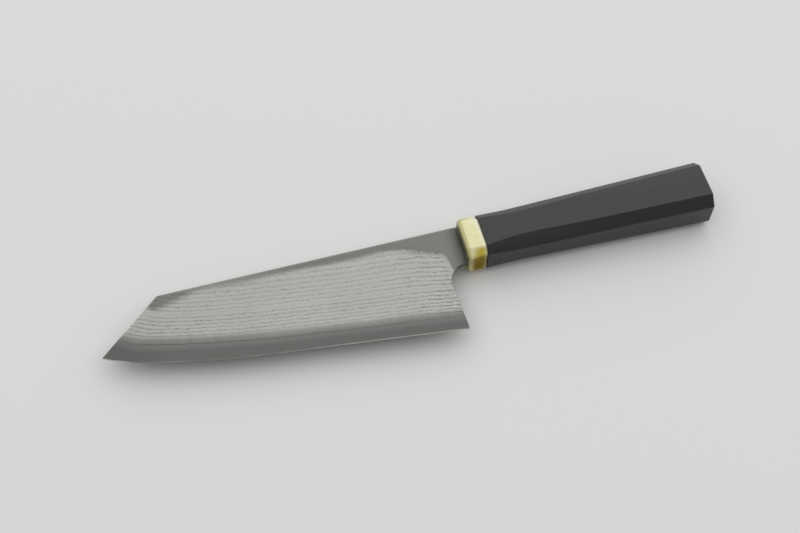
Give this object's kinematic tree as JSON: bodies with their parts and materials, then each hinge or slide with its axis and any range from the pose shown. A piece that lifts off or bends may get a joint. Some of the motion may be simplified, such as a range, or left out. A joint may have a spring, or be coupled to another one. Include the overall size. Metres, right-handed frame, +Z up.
{
  "type": "kitchen knife",
  "caption": "Kitchen knife with a straight spine, an angled point, a layered steel blade, a bone ferrule and an octagonal black wooden handle, for slicing and chopping.",
  "frame": {"origin": "on the surface that the knife lies on, under the middle of its box", "axes": "+X from the point to the butt along the handle's axis, +Y from the cutting edge to the spine, +Z up, from the blade's right face to its left face"},
  "size_m": [0.3012, 0.058, 0.0222],
  "materials": {
    "core_steel": "satin",
    "layered_steel": "satin",
    "bone": "satin",
    "black_wood": "satin",
    "pale_wood": "matte",
    "resin": "matte"
  },
  "bodies": {
    "root": {"blade_core": "core_steel", "cladding_left": "layered_steel", "cladding_right": "layered_steel", "ferrule": "bone", "handle_body": "black_wood", "ferrule_dowel": "pale_wood", "tang_bedding": "resin"}
  },
  "joints": []
}
